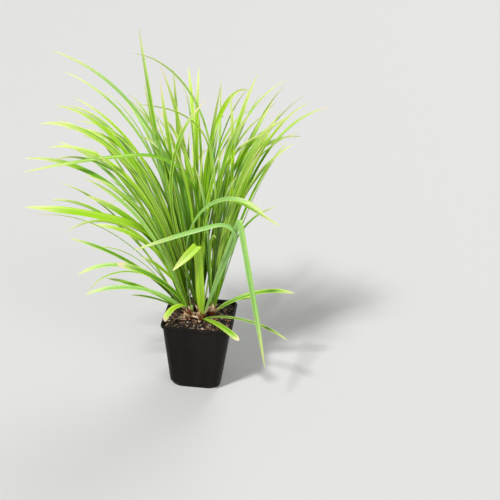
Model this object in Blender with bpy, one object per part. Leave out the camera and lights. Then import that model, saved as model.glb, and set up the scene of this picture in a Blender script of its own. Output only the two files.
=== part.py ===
"""Potted carex sedge: a square nursery pot, the soil in it, and the leafy shoots that grow out of the soil.

Metres, +Z up. The origin is the middle of the pot's foot, and the pot's sides face the X and Y axes.
Every blade of the sedge is a keeled ribbon. Its midrib leaves the shoot with a lean from upright and bends
on along its length, so a few angles and a length give its whole arch. The blades that set the plant's
outline are listed; the rest are drawn at random from a seed, and a blade is only kept where it is clear of
its neighbours.
"""

import math
import random
from collections import namedtuple

import bmesh
import bpy
import numpy as np
from mathutils import Matrix, Vector, noise

MM = 0.001
GAP = 0.0003

POT_HEIGHT = 0.092
FOOT_HALF = 0.0322
NECK_HALF = 0.0430
RIM_HALF = 0.0450
RIM_BAND = 0.0042
RIM_EDGE = 0.0008
WALL = 0.0013
WALL_CORNER = 0.0075
NOTCH_CORNER = 0.0165
NOTCH_HEIGHT = 0.0052
NOTCH_SLOPE = 0.0012
CORNER_STEPS = 4
DRAIN_RADIUS = 0.0035
DRAIN_OUT = 0.016

SOIL_Z = 0.0865
SOIL_RISE = 0.004
SOIL_REACH = 0.022
SOIL_BUMP = 0.0011
SOIL_GRAIN = 160.0
SOIL_SLICE = 0.7
CROWN_Y = 0.004
SOIL_RINGS = 6

CORE_RADIUS = 0.0040
CORE_TOP_RADIUS = 0.0021
CORE_TOP = 0.018
CORE_FOOT = -0.012
CORE_SIDES = 8
HOLE_SIDES = 12

POT_COLOUR = (0.007, 0.005, 0.004)
SOIL_COLOUR = (0.020, 0.012, 0.007)
LEAF_COLOUR = (0.190, 0.380, 0.015)
POT_ROUGHNESS = 0.45
SOIL_ROUGHNESS = 0.95
LEAF_ROUGHNESS = 0.40

SEED = 41
BLADES_PER_SHOOT = 31
SHEATHS_PER_SHOOT = 4
TUFT_LEAN = 3.0
HEART_SPREAD = 0.4
DROOPING = 0.35
FRONT_UPRIGHT = 0.75
RIGHT_UPRIGHT = 0.55
BLADE_THICK = 0.0009
KEEL = 0.28
ROOT_OUT = 0.0014
MIDRIB_SAMPLES = 181
FOLD_SAMPLES = 25
RUN_LENGTH = 0.038
FEWEST_RUNS = 3
MOST_RUNS = 8
SHARP_FOLD = 0.05
ROOT_ROLL = 0.35
ROOT_WIDTH = 0.5
FULL_WIDTH_FROM = 0.25
TIP_ROUNDNESS = 0.65
TIP_WIDTH = 0.12

Blade = namedtuple(
    "Blade",
    "shoot heading lean bend bow length width rise drift fold turn reach skew roll tip",
    defaults=(3.0, 0.0, None, 0.0, 0.03, 0.0, 0.0, 0.17),
)
BLUNT = 0.05

SHOOTS = {
    "middle": (-0.002, 0.005),
    "left": (-0.020, 0.001),
    "front_left": (-0.010, -0.008),
    "front": (0.004, -0.012),
    "right": (0.015, -0.001),
    "back_left": (-0.016, 0.014),
    "back": (-0.003, 0.022),
    "back_right": (0.013, 0.014),
}

# Heading, lean, bend, drift, turn, skew and roll are in degrees, length, width and rise in millimetres. The
# heading counts from +X. Fold and reach are fractions of the length. The first few stand before all others.
LEADING = [
    Blade("front", 265, 8, 0, 1.0, 151, 11.0, fold=0.72, turn=150, reach=0.014, skew=-22),
    Blade("front", -8, 19, 0, 1.0, 334, 7.0, fold=0.445, turn=160, reach=0.012, skew=14, roll=-120),
    Blade("front", -22, 22, 0, 1.0, 266, 6.0, drift=42, fold=0.52, turn=-128, reach=0.10, roll=-50),
    Blade("front_left", -18, -9, 150, 2.2, 244, 5.5, rise=6, roll=55),
    Blade("front", -44, 79, 26, 1.0, 72, 7.5, roll=14, tip=BLUNT),
    Blade("front_left", 222, 12, 150, 0.9, 52, 9.5, rise=8, tip=BLUNT),
    Blade("front", -12, 72, 50, 1.0, 116, 4.0, roll=30),
    Blade("left", 184, 10, 30, 1.0, 276, 9.5, fold=0.42, turn=48, reach=0.15, roll=-50),
    Blade("middle", 182, 13.5, -8, 1.0, 365, 5.2, roll=70),
    Blade("middle", 180, 6.5, 68, 2.2, 396, 4.6, roll=-45),
    Blade("back_left", 172, 4, 68, 2.0, 360, 4.0, roll=-30),
    Blade("middle", 184, 12, -3, 1.0, 305, 5.0, roll=-80),
    Blade("back_left", 170, 7, 62, 2.0, 320, 4.0, roll=-40),
    Blade("middle", 178, 9, 82, 3.0, 333, 7.0, roll=-60),
    Blade("back", 176, 11.5, 85, 3.0, 312, 4.2, roll=-35),
    Blade("back_left", 168, 9.5, 95, 2.6, 310, 4.2, roll=-50),
    Blade("front_left", 178, 13, 90, 2.5, 306, 5.6, roll=-40),
    Blade("front_left", 182, 15, 80, 1.8, 310, 6.4, roll=-55),
    Blade("right", 182, -2, 24, 1.0, 396, 5.0, fold=0.53, turn=78, reach=0.16, roll=-40),
    Blade("right", 0, 3, -90, 3.8, 378, 5.0, roll=50),
    Blade("back_right", 0, 3, -8, 1.0, 330, 4.6, fold=0.76, turn=-78, reach=0.18, roll=40),
    Blade("back", 160, -2, 55, 3.0, 272, 4.5, roll=-60),
    Blade("front", 10, -16, 66, 2.6, 300, 4.8, roll=60),
    Blade("right", 0, 14, -18, 1.0, 292, 4.6, roll=80),
    Blade("front", -6, 0, 8, 1.0, 252, 4.8, fold=0.66, turn=112, reach=0.16, roll=40),
    Blade("back_left", 185, 16, 54, 1.4, 207, 7.5, roll=-55),
    Blade("front_left", 190, 12, 78, 1.5, 188, 6.2, roll=-45),
    Blade("back_left", 170, 9, 78, 1.5, 155, 4.5, roll=-30),
    Blade("left", 182, 28, 48, 0.8, 178, 5.0, roll=-40),
    Blade("left", 188, 20, 104, 1.2, 166, 5.5, roll=-50),
    Blade("left", 185, 21, 132, 1.4, 160, 2.8, roll=-20),
    Blade("front_left", 192, 37, 74, 1.0, 146, 6.0, roll=-35),
    Blade("left", 178, 50, 34, 1.0, 110, 5.0, roll=-45),
    Blade("left", 195, 48, 35, 1.0, 74, 3.5, roll=-25),
    Blade("front_left", 195, 17, 56, 0.8, 124, 7.5, roll=-50, tip=BLUNT),
    Blade("front_left", 200, 9, 50, 1.0, 112, 6.5, roll=-30),
    Blade("right", 20, 43, 60, 1.0, 62, 5.5, roll=40),
    Blade("right", 10, 46, 60, 1.0, 114, 6.5, roll=35),
]

# How the drawn blades vary, in degrees and millimetres, from a shoot's oldest (age 0) to its youngest (1).
HEADING_VARIES = (58, 94)
DRIFT_VARIES = 20
OLD_LEAN = 24
LEAN_VARIES = 12
BEND_RANGE = (20, 80)
BEND_BY_AGE = (1.15, 0.75)
BOW_RANGE = (1.7, 3.2)
DROOP_BEND = 40
DROOP_BOW = 0.6
SHORT_LENGTH = 170
LONG_MORE = 165
LENGTH_VARIES = 45
LEFT_SHORTER = 0.88
RIGHT_SHORTER = 0.93
FRONT_SHORTER = 0.20
LEAST_WIDTH = 2.8
WIDE_MORE = 2.6
WIDTH_VARIES = (-0.8, 0.9)
RISE_RANGE = (1, 8)
ROLL_RANGE = (10, 105)

SHEATH_TURN_VARIES = 40
SHEATH_LEAN = (6, 26)
SHEATH_BEND = (5, 55)
SHEATH_BOW = (1.0, 2.0)
SHEATH_LENGTH = (14, 30)
SHEATH_WIDTH = (4.5, 7.0)
SHEATH_RISE = 0.5
SHEATH_TIP = 0.6

# A blade that touches another is turned and leaned a little, and in the end drawn anew.
LEADING_TRIES = 60
FOREMOST = 4
DRAWS = 60
NUDGES = 4
SHEATH_TRIES = 12
NUDGE_HEADING = 1.0
NUDGE_LEAN = 0.3
NUDGE_RISE = 1.0
NUDGE_GROWS = 0.5
HIGHEST_RISE = 8.0

# The room that is taken is kept in small cells.
CELL = 0.0015
SPACING = 0.0010
QUICK_LOOK = 11
CORE_TURN = 0.3
ROOM_HALF = 0.232
ROOM_HEIGHT = 0.47
OWN_ROOT = 0.075
CLEAR_FROM = 0.105
CLEAR_DEPTH = 0.040
CLEAR_STEP = 0.003
TOWARDS_VIEW = np.array([0.11, -0.91, 0.40])
INSIDE_HALF = 0.036
RIM_OUTER = 0.049
RIM_CLEAR = 0.0022
GROUND_CLEAR = 0.0023
ROOT_MARGIN = 0.0005
LOWEST_BLADE = 0.014


def soil_height(x, y):
    """The soil's smooth height, which rises a little under the crown of the plant."""
    away = np.hypot(x, np.asarray(y) - CROWN_Y) / SOIL_REACH
    return SOIL_Z + SOIL_RISE * np.exp(-away * away)


def stations(blade, runs):
    """The fractions of a blade's length where its sections stand: three of them make a sharp fold."""
    if blade.fold is None or blade.reach > SHARP_FOLD:
        return np.linspace(0.0, 1.0, runs + 1)
    before = max(2, round(runs * blade.fold))
    after = max(2, runs - before)
    start = np.linspace(0.0, blade.fold - blade.reach, before + 1)
    end = np.linspace(blade.fold + blade.reach, 1.0, after + 1)
    return np.concatenate([start, [blade.fold], end])


def runs_of(blade):
    """How many straight runs stand for a blade's arch."""
    return int(min(MOST_RUNS, max(FEWEST_RUNS, round(blade.length * MM / RUN_LENGTH))))


def tuft_leant(ways):
    """Directions turned with the whole tuft, which leans a little towards -X."""
    x, y, z = ways.T
    turn = math.radians(TUFT_LEAN)
    leant_x = x * math.cos(turn) - z * math.sin(turn)
    leant_z = x * math.sin(turn) + z * math.cos(turn)
    return np.stack([leant_x, y, leant_z], axis=1)


def soft_step(blade, s):
    """Zero before a blade's fold and one past it, with a smooth step over the fold's reach."""
    part = np.clip((s - blade.fold + blade.reach) / (2 * blade.reach), 0, 1)
    return part * part * (3 - 2 * part)


def creased(blade, s, along, across):
    """Both directions of a sharply folded blade, which turns as a whole about a line that crosses it."""
    at = np.searchsorted(s, blade.fold)
    skew = math.radians(blade.skew)
    line = across[at] * math.cos(skew) + along[at] * math.sin(skew)
    turn = math.radians(blade.turn) * soft_step(blade, s)[:, None]

    def turned(ways):
        kept = np.outer(ways @ line, line) * (1 - np.cos(turn))
        return ways * np.cos(turn) + np.cross(line, ways) * np.sin(turn) + kept

    return turned(along), turned(across)


def frame_of(blade, s):
    """Midrib points, the direction across the blade, and the direction out of its upper face."""
    samples = [np.linspace(0.0, 1.0, MIDRIB_SAMPLES), s]
    if blade.fold is not None:
        samples.append(blade.fold + blade.reach * np.linspace(-1, 1, FOLD_SAMPLES))
    fine = np.unique(np.concatenate(samples))
    is_sharp = blade.fold is not None and blade.reach <= SHARP_FOLD
    lean = blade.lean + blade.bend * fine**blade.bow
    if blade.fold is not None and not is_sharp:
        lean = lean + blade.turn * soft_step(blade, fine)
    lean = np.radians(lean)
    heading = np.radians(blade.heading + blade.drift * fine)
    roll = np.radians(blade.roll * (ROOT_ROLL + (1 - ROOT_ROLL) * fine))[:, None]
    along = np.stack([np.sin(lean) * np.cos(heading), np.sin(lean) * np.sin(heading), np.cos(lean)], axis=1)
    level = np.stack([-np.sin(heading), np.cos(heading), np.zeros_like(heading)], axis=1)
    across = level * np.cos(roll) + np.cross(along, level) * np.sin(roll)
    if is_sharp:
        along, across = creased(blade, fine, along, across)
    along, across = tuft_leant(along), tuft_leant(across)
    x, y = SHOOTS[blade.shoot]
    turn = math.radians(blade.heading)
    root = [x + ROOT_OUT * math.cos(turn), y + ROOT_OUT * math.sin(turn), soil_height(x, y) + blade.rise * MM]
    steps = np.diff(fine)[:, None] * blade.length * MM
    points = np.zeros_like(along)
    points[1:] = np.cumsum((along[1:] + along[:-1]) / 2 * steps, axis=0)
    at = np.searchsorted(fine, s)
    return points[at] + np.array(root), across[at], np.cross(along[at], across[at])


def half_width(blade, s):
    """Half the blade's width: narrower at the root, widest past a quarter, and tapered over the tip."""
    grow = np.clip(s / FULL_WIDTH_FROM, 0, 1)
    full = ROOT_WIDTH + (1 - ROOT_WIDTH) * grow * grow * (3 - 2 * grow)
    taper = np.clip((1.0 - s) / blade.tip, 0, 1) ** TIP_ROUNDNESS
    return blade.width * MM / 2 * full * np.maximum(taper, TIP_WIDTH)


def surface_points(blade):
    """Points spread over the blade's faceted ribbon, close enough together to find what it touches."""
    s = stations(blade, runs_of(blade))
    middle, across, upper = frame_of(blade, s)
    wide = half_width(blade, s)[:, None]
    count = int(np.max(np.diff(s)) * blade.length * MM / SPACING) + 1
    t = np.arange(count)[:, None, None] / count
    lanes = int(blade.width * MM / SPACING) + 2
    points = []
    for u in np.linspace(-1, 1, lanes):
        lane = middle + across * wide * u + upper * wide * KEEL * abs(u)
        points.append((lane[None, :-1] * (1 - t) + lane[None, 1:] * t).reshape(-1, 3))
    return np.concatenate(points)


class Room:
    """The space that is taken, in small cells: one bit for each shoot, and one for what is kept clear."""

    def __init__(self):
        wide = int(2 * ROOM_HALF / CELL)
        self.shape = np.array([wide, wide, int(ROOM_HEIGHT / CELL)])
        self.own = np.zeros(self.shape, np.uint16)
        self.near = np.zeros(self.shape, np.uint16)
        self.bits = {name: np.uint16(1 << k) for k, name in enumerate([*SHOOTS, "clear"])}

    def cells(self, points):
        return np.floor((points + [ROOM_HALF, ROOM_HALF, 0.0]) / CELL).astype(int)

    def add(self, shoot, points):
        cells = np.unique(self.cells(points), axis=0)
        self.own[tuple(cells.T)] |= self.bits[shoot]
        for shift in np.ndindex(3, 3, 3):
            self.near[tuple((cells + shift - 1).T)] |= self.bits[shoot]

    def is_free(self, shoot, points):
        cells = self.cells(points)
        if (cells < 1).any() or (cells >= self.shape - 1).any():
            return False
        if (self.near[tuple(cells.T)] & ~self.bits[shoot]).any():
            return False
        x, y = SHOOTS[shoot]
        root = np.array([x, y, soil_height(x, y)])
        far = cells[np.linalg.norm(points - root, axis=1) > OWN_ROOT]
        return not (self.own[tuple(far.T)] & self.bits[shoot]).any()


def clear_of_pot(points):
    """Whether a blade passes over the rim and the soil, and stays up off the ground."""
    x, y, z = points.T
    out = np.maximum(abs(x), abs(y))
    if ((out > INSIDE_HALF) & (out < RIM_OUTER) & (z < POT_HEIGHT + RIM_CLEAR)).any():
        return False
    rooted = np.zeros(len(x), bool)
    for a, b in SHOOTS.values():
        rooted |= np.hypot(x - a, y - b) < CORE_RADIUS + ROOT_MARGIN
    if ((out <= INSIDE_HALF) & ~rooted & (z < soil_height(x, y) + GROUND_CLEAR)).any():
        return False
    return z.min() > LOWEST_BLADE


def keep_clear_before(room, blade):
    """Keeps the space before a blade free, seen from the front and a little above."""
    points = surface_points(blade)
    points = points[points[:, 2] > CLEAR_FROM]
    for step in np.arange(CLEAR_STEP, CLEAR_DEPTH, CLEAR_STEP):
        room.add("clear", points + step * TOWARDS_VIEW)


def nudged(blade, rng, n):
    """The same blade, turned and leaned a little further each time it is tried."""
    reach = 1.0 + n * NUDGE_GROWS
    return blade._replace(
        heading=blade.heading + rng.uniform(-NUDGE_HEADING, NUDGE_HEADING) * reach,
        lean=blade.lean + rng.uniform(-NUDGE_LEAN, NUDGE_LEAN) * reach,
        rise=max(0.0, min(HIGHEST_RISE, blade.rise + rng.uniform(-NUDGE_RISE, NUDGE_RISE))),
    )


def drawn_blade(shoot, k, rng):
    """Blade k of a shoot, from the oldest and lowest to the youngest in its heart."""
    age = (k + rng.uniform(0, 0.9)) / BLADES_PER_SHOOT
    x, y = SHOOTS[shoot]
    middle_x, middle_y = SHOOTS["middle"]
    outward = math.degrees(math.atan2(y - CROWN_Y, x - middle_x))
    heading = outward + rng.gauss(0, HEADING_VARIES[0] * (1 - age) + HEADING_VARIES[1] * age)
    droops = rng.random() < DROOPING
    rightward = math.cos(math.radians(heading))
    frontward = max(0.0, -math.sin(math.radians(heading)))
    upright = 1 - FRONT_UPRIGHT * frontward - RIGHT_UPRIGHT * max(0.0, rightward) ** 2
    length = SHORT_LENGTH + LONG_MORE * math.sin(math.pi * min(1, age * 0.9 + 0.05)) ** 0.8
    length += rng.uniform(-LENGTH_VARIES, LENGTH_VARIES)
    length *= (LEFT_SHORTER if rightward < -0.3 else RIGHT_SHORTER) * (1 - FRONT_SHORTER * frontward)
    spread = HEART_SPREAD if shoot == "middle" else 1.0
    bend_by_age = BEND_BY_AGE[0] * (1 - age) + BEND_BY_AGE[1] * age
    return Blade(
        shoot,
        heading,
        lean=(OLD_LEAN * (1 - age) ** 1.3 + rng.uniform(0, LEAN_VARIES)) * spread * upright,
        bend=(rng.uniform(*BEND_RANGE) * bend_by_age + DROOP_BEND * droops) * (1 + upright) / 2,
        bow=rng.uniform(*BOW_RANGE) + DROOP_BOW * droops,
        length=length,
        width=LEAST_WIDTH + WIDE_MORE * math.sin(math.pi * age) + rng.uniform(*WIDTH_VARIES),
        rise=RISE_RANGE[0] * (1 - age) + RISE_RANGE[1] * age,
        drift=rng.gauss(0, DRIFT_VARIES),
        roll=rng.choice((-1, 1)) * rng.uniform(*ROLL_RANGE),
    )


def drawn_sheath(shoot, k, rng):
    """A short dry sheath at the foot of a shoot."""
    return Blade(
        shoot,
        heading=360 * k / SHEATHS_PER_SHOOT + rng.uniform(-SHEATH_TURN_VARIES, SHEATH_TURN_VARIES),
        lean=rng.uniform(*SHEATH_LEAN),
        bend=rng.uniform(*SHEATH_BEND),
        bow=rng.uniform(*SHEATH_BOW),
        length=rng.uniform(*SHEATH_LENGTH),
        width=rng.uniform(*SHEATH_WIDTH),
        rise=SHEATH_RISE,
        tip=SHEATH_TIP,
    )


def core_points(name):
    """Points on the side of a shoot's core."""
    x, y = SHOOTS[name]
    heights = np.arange(CORE_FOOT, CORE_TOP, SPACING)
    angles = np.arange(0, 2 * math.pi, CORE_TURN)
    z, turn = (grid.reshape(-1) for grid in np.meshgrid(heights, angles))
    radius = CORE_RADIUS + (CORE_TOP_RADIUS - CORE_RADIUS) * (z - CORE_FOOT) / (CORE_TOP - CORE_FOOT)
    return np.stack([x + radius * np.cos(turn), y + radius * np.sin(turn), z + soil_height(x, y)], axis=1)


def grow_plant():
    """All blades and all sheaths, as two lists, each piece clear of every other shoot's."""
    rng = random.Random(SEED)
    room = Room()
    for name in SHOOTS:
        room.add(name, core_points(name))

    def settled(wanted, tries):
        for n in range(tries):
            blade = nudged(wanted, rng, n) if n else wanted
            points = surface_points(blade)
            fits = True
            for some in (points[::QUICK_LOOK], points):
                fits = fits and clear_of_pot(some) and room.is_free(blade.shoot, some)
            if fits:
                room.add(blade.shoot, points)
                return blade
        return None

    blades = [settled(wanted, LEADING_TRIES) for wanted in LEADING]
    for blade in LEADING[:FOREMOST]:
        keep_clear_before(room, blade)
    for k in range(BLADES_PER_SHOOT):
        for name in SHOOTS:
            led = sum(blade.shoot == name for blade in LEADING)
            if k >= BLADES_PER_SHOOT - led:
                continue
            for _ in range(DRAWS):
                blade = settled(drawn_blade(name, k + led * rng.random(), rng), NUDGES)
                if blade:
                    blades.append(blade)
                    break
    sheaths = []
    for k in range(SHEATHS_PER_SHOOT):
        for name in SHOOTS:
            sheaths.append(settled(drawn_sheath(name, k, rng), SHEATH_TRIES))
    return [blade for blade in blades if blade], [sheath for sheath in sheaths if sheath]


def new_object(name, mesh, collection):
    piece = bpy.data.objects.new(name, mesh)
    collection.objects.link(piece)
    return piece


def mesh_from(name, build):
    """A mesh that build fills through bmesh, with its faces turned outwards."""
    shape = bmesh.new()
    build(shape)
    bmesh.ops.recalc_face_normals(shape, faces=shape.faces)
    mesh = bpy.data.meshes.new(name)
    shape.to_mesh(mesh)
    shape.free()
    return mesh


def shade_round(piece, angle):
    piece.data.shade_smooth()
    piece.data.set_sharp_from_angle(angle=math.radians(angle))


def paint(piece, name, colour, roughness):
    """Gives a piece its own Principled material."""
    material = bpy.data.materials.new(name)
    material.use_nodes = True
    shader = material.node_tree.nodes["Principled BSDF"]
    shader.inputs["Base Color"].default_value = (*colour, 1.0)
    shader.inputs["Roughness"].default_value = roughness
    shader.inputs["Metallic"].default_value = 0.0
    piece.data.materials.clear()
    piece.data.materials.append(material)


def evaluated_copy(piece):
    """The piece's mesh with its modifiers applied."""
    bpy.context.view_layer.update()
    graph = bpy.context.evaluated_depsgraph_get()
    return bpy.data.meshes.new_from_object(piece.evaluated_get(graph))


def apply_modifiers(piece):
    mesh = evaluated_copy(piece)
    piece.modifiers.clear()
    old = piece.data
    piece.data = mesh
    bpy.data.meshes.remove(old)


def square_ring(shape, half, corner, z):
    """A level square of vertices with round corners, counter-clockwise from above."""
    ring = []
    for quarter in range(4):
        turn = math.pi / 2 * quarter
        middle = Vector((half - corner, half - corner))
        for step in range(CORNER_STEPS + 1):
            angle = math.pi / 2 * step / CORNER_STEPS
            point = middle + corner * Vector((math.cos(angle), math.sin(angle)))
            point.rotate(Matrix.Rotation(turn, 2))
            ring.append(shape.verts.new((point.x, point.y, z)))
    return ring


def bridge(shape, rings):
    """Joins each ring to the next with a band of faces."""
    for low, high in zip(rings, rings[1:]):
        for k, vertex in enumerate(low):
            after = (k + 1) % len(low)
            shape.faces.new((vertex, low[after], high[after], high[k]))


def wall_half(z):
    """Half the pot's outer width at height z, between its foot and its neck."""
    return FOOT_HALF + (NECK_HALF - FOOT_HALF) * z / POT_HEIGHT


def inner_levels(inset):
    """Half width, corner and height of the pot's inside from its floor up, moved in by a gap."""
    floor = WALL + inset
    notch = NOTCH_HEIGHT + WALL + inset
    return [
        (wall_half(floor) - WALL - inset, NOTCH_CORNER, floor),
        (wall_half(notch) - WALL - inset, NOTCH_CORNER, notch),
        (wall_half(notch) - WALL - inset, WALL_CORNER - WALL, notch + NOTCH_SLOPE),
    ]


def build_pot(collection, cutters):
    """The thin pot: tapered sides, notched corners at the foot, an overhanging rim, and drain holes."""
    band = POT_HEIGHT - RIM_BAND
    outer = [
        (wall_half(0), NOTCH_CORNER, 0),
        (wall_half(NOTCH_HEIGHT), NOTCH_CORNER, NOTCH_HEIGHT),
        (wall_half(NOTCH_HEIGHT), WALL_CORNER, NOTCH_HEIGHT + NOTCH_SLOPE),
        (wall_half(band), WALL_CORNER, band),
        (RIM_HALF, WALL_CORNER + RIM_HALF - wall_half(band), band + RIM_EDGE / 2),
        (RIM_HALF, WALL_CORNER + RIM_HALF - wall_half(band), POT_HEIGHT - RIM_EDGE),
        (RIM_HALF - RIM_EDGE, WALL_CORNER, POT_HEIGHT),
    ]
    inside = (wall_half(POT_HEIGHT) - WALL, WALL_CORNER - WALL, POT_HEIGHT)

    def shell(shape):
        levels = outer + [inside] + inner_levels(0.0)[::-1]
        rings = [square_ring(shape, *level) for level in levels]
        bridge(shape, rings)
        shape.faces.new(rings[0])
        shape.faces.new(rings[-1])

    pot = new_object("pot", mesh_from("pot", shell), collection)
    for k in range(4):
        turn = Matrix.Rotation(math.pi / 2 * k, 3, "Z")
        bpy.ops.mesh.primitive_cylinder_add(
            vertices=HOLE_SIDES,
            radius=DRAIN_RADIUS,
            depth=WALL * 4,
            location=turn @ Vector((DRAIN_OUT, DRAIN_OUT, WALL / 2)),
        )
        cut_with(pot, bpy.context.object, cutters, f"drain_{k}")
    paint(pot, "pot", POT_COLOUR, POT_ROUGHNESS)
    shade_round(pot, 35)


def cut_with(piece, cutter, cutters, name):
    """Subtracts a cutter, which stays as a hidden helper."""
    for home in list(cutter.users_collection):
        home.objects.unlink(cutter)
    cutters.objects.link(cutter)
    cutter.name = name
    cutter.hide_render = True
    cutter.display_type = "WIRE"
    cut = piece.modifiers.new(name, "BOOLEAN")
    cut.operation = "DIFFERENCE"
    cut.object = cutter


def soil_top(x, y):
    """The soil's bumpy height, which lies flat towards the pot's wall."""
    bump = noise.noise(Vector((x, y, SOIL_SLICE)) * SOIL_GRAIN)
    return float(soil_height(x, y)) + SOIL_BUMP * bump


def build_soil(collection, cutters):
    """The ball of soil: the pot's inside less a small gap, a bumpy top, and a plain hole for each shoot."""

    def ball(shape):
        rings = [square_ring(shape, *level) for level in inner_levels(GAP)]
        edge = wall_half(SOIL_Z) - WALL - GAP
        for k in range(SOIL_RINGS):
            part = 1 - k / SOIL_RINGS
            rings.append(square_ring(shape, edge * part, (WALL_CORNER - WALL) * part, SOIL_Z))
            for vertex in rings[-1]:
                vertex.co.z = soil_top(vertex.co.x, vertex.co.y)
        bridge(shape, rings)
        shape.faces.new(rings[0])
        middle = shape.verts.new((0, 0, soil_top(0, 0)))
        for k, vertex in enumerate(rings[-1]):
            shape.faces.new((vertex, rings[-1][(k + 1) % len(rings[-1])], middle))
        bmesh.ops.triangulate(shape, faces=shape.faces)

    soil = new_object("soil", mesh_from("soil", ball), collection)
    wide = (CORE_RADIUS + GAP) / math.cos(math.pi / HOLE_SIDES)
    for name, (x, y) in SHOOTS.items():
        low = float(soil_height(x, y)) + CORE_FOOT - GAP
        bpy.ops.mesh.primitive_cylinder_add(
            vertices=HOLE_SIDES,
            radius=wide,
            depth=POT_HEIGHT + CORE_RADIUS - low,
            location=(x, y, (low + POT_HEIGHT + CORE_RADIUS) / 2),
        )
        cut_with(soil, bpy.context.object, cutters, f"hole_{name}")
    paint(soil, "soil", SOIL_COLOUR, SOIL_ROUGHNESS)
    shade_round(soil, 60)


def build_blade(shape, blade):
    """Adds a closed keeled ribbon: left edge, upper midrib, right edge and lower midrib at each station."""
    s = stations(blade, runs_of(blade))
    middle, across, upper = frame_of(blade, s)
    wide = half_width(blade, s)[:, None]
    edge_lift = upper * wide * KEEL
    sections = np.stack(
        [
            middle + across * wide + edge_lift,
            middle + upper * BLADE_THICK / 2,
            middle - across * wide + edge_lift,
            middle - upper * BLADE_THICK / 2,
        ],
        axis=1,
    )
    rows = [[shape.verts.new(point) for point in section] for section in sections]
    for low, high in zip(rows, rows[1:]):
        for edge in (0, 2):
            for rib in (1, 3):
                shape.faces.new((low[edge], low[rib], high[rib]))
                shape.faces.new((low[edge], high[rib], high[edge]))
    for end in (rows[0], rows[-1]):
        shape.faces.new((end[0], end[1], end[3]))
        shape.faces.new((end[1], end[2], end[3]))


def keep_outer_body(mesh):
    """Drops loose scraps and sealed hollows, so that one closed body is left."""
    shape = bmesh.new()
    shape.from_mesh(mesh)
    bmesh.ops.remove_doubles(shape, verts=shape.verts, dist=1e-6)
    waiting = set(shape.faces)
    bodies = []
    while waiting:
        body = {waiting.pop()}
        edge_of_body = list(body)
        while edge_of_body:
            face = edge_of_body.pop()
            around = {near for edge in face.edges for near in edge.link_faces} - body
            body |= around
            edge_of_body.extend(around)
        waiting -= body
        bodies.append(body)

    def spread(body):
        heights = [vertex.co.z for face in body for vertex in face.verts]
        return max(heights) - min(heights)

    outer = max(bodies, key=spread)
    scraps = [face for body in bodies if body is not outer for face in body]
    bmesh.ops.delete(shape, geom=scraps, context="FACES")
    shape.to_mesh(mesh)
    shape.free()


def build_shoot(name, blades, sheaths, collection):
    """One shoot: a tapered core that stands in the soil, with its blades and dry sheaths fused to it."""
    x, y = SHOOTS[name]
    low = float(soil_height(x, y)) + CORE_FOOT
    high = float(soil_height(x, y)) + CORE_TOP
    bpy.ops.mesh.primitive_cone_add(
        vertices=CORE_SIDES,
        radius1=CORE_RADIUS,
        radius2=CORE_TOP_RADIUS,
        depth=high - low,
        location=(x, y, (low + high) / 2),
    )
    shoot = bpy.context.object
    shoot.name = f"shoot_{name}"
    for home in list(shoot.users_collection):
        home.objects.unlink(shoot)
    collection.objects.link(shoot)
    growth = bpy.data.collections.new(f"blades_{name}")
    bpy.context.scene.collection.children.link(growth)
    for k, blade in enumerate(blades + sheaths):
        mesh = mesh_from(f"{name}_{k}", lambda shape, blade=blade: build_blade(shape, blade))
        new_object(f"{name}_{k}", mesh, growth)
    join = shoot.modifiers.new("Join blades", "BOOLEAN")
    join.operation = "UNION"
    join.operand_type = "COLLECTION"
    join.collection = growth
    join.solver = "MANIFOLD"
    apply_modifiers(shoot)
    for piece in list(growth.objects):
        bpy.data.meshes.remove(piece.data)
    bpy.data.collections.remove(growth)
    keep_outer_body(shoot.data)
    paint(shoot, f"shoot_{name}", LEAF_COLOUR, LEAF_ROUGHNESS)
    shade_round(shoot, 40)


def main():
    for piece in list(bpy.data.objects):
        bpy.data.objects.remove(piece)
    plant = bpy.data.collections.new("Potted carex sedge")
    cutters = bpy.data.collections.new("Cutters")
    bpy.context.scene.collection.children.link(plant)
    bpy.context.scene.collection.children.link(cutters)
    build_pot(plant, cutters)
    build_soil(plant, cutters)
    blades, sheaths = grow_plant()
    for name in SHOOTS:
        own_blades = [blade for blade in blades if blade.shoot == name]
        own_sheaths = [sheath for sheath in sheaths if sheath.shoot == name]
        build_shoot(name, own_blades, own_sheaths, plant)


main()
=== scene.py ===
"""The looks of a potted carex sedge: its fine blades, sheaths, soil and pot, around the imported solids.

Metres, +Z up, origin at the middle of the pot's foot. The sedge grows here by the same rule as its solids,
so each fine blade lies where its plain solid does.
"""

import math
import random
from collections import namedtuple
from types import SimpleNamespace

import bmesh
import bpy
import numpy as np
from mathutils import Matrix, Vector, noise


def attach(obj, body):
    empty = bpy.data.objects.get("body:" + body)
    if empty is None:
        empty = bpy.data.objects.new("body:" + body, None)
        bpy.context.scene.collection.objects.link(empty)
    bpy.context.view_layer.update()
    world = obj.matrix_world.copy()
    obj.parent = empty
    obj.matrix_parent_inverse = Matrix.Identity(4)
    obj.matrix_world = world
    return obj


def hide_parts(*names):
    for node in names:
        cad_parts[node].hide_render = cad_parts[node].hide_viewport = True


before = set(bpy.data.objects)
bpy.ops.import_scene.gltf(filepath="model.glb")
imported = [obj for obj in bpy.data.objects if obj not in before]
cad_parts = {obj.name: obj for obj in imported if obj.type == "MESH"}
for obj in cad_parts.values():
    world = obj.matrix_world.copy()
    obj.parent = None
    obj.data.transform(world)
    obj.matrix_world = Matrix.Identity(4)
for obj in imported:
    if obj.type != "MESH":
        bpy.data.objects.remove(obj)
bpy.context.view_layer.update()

MM = 0.001
GAP = 0.0003

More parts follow.
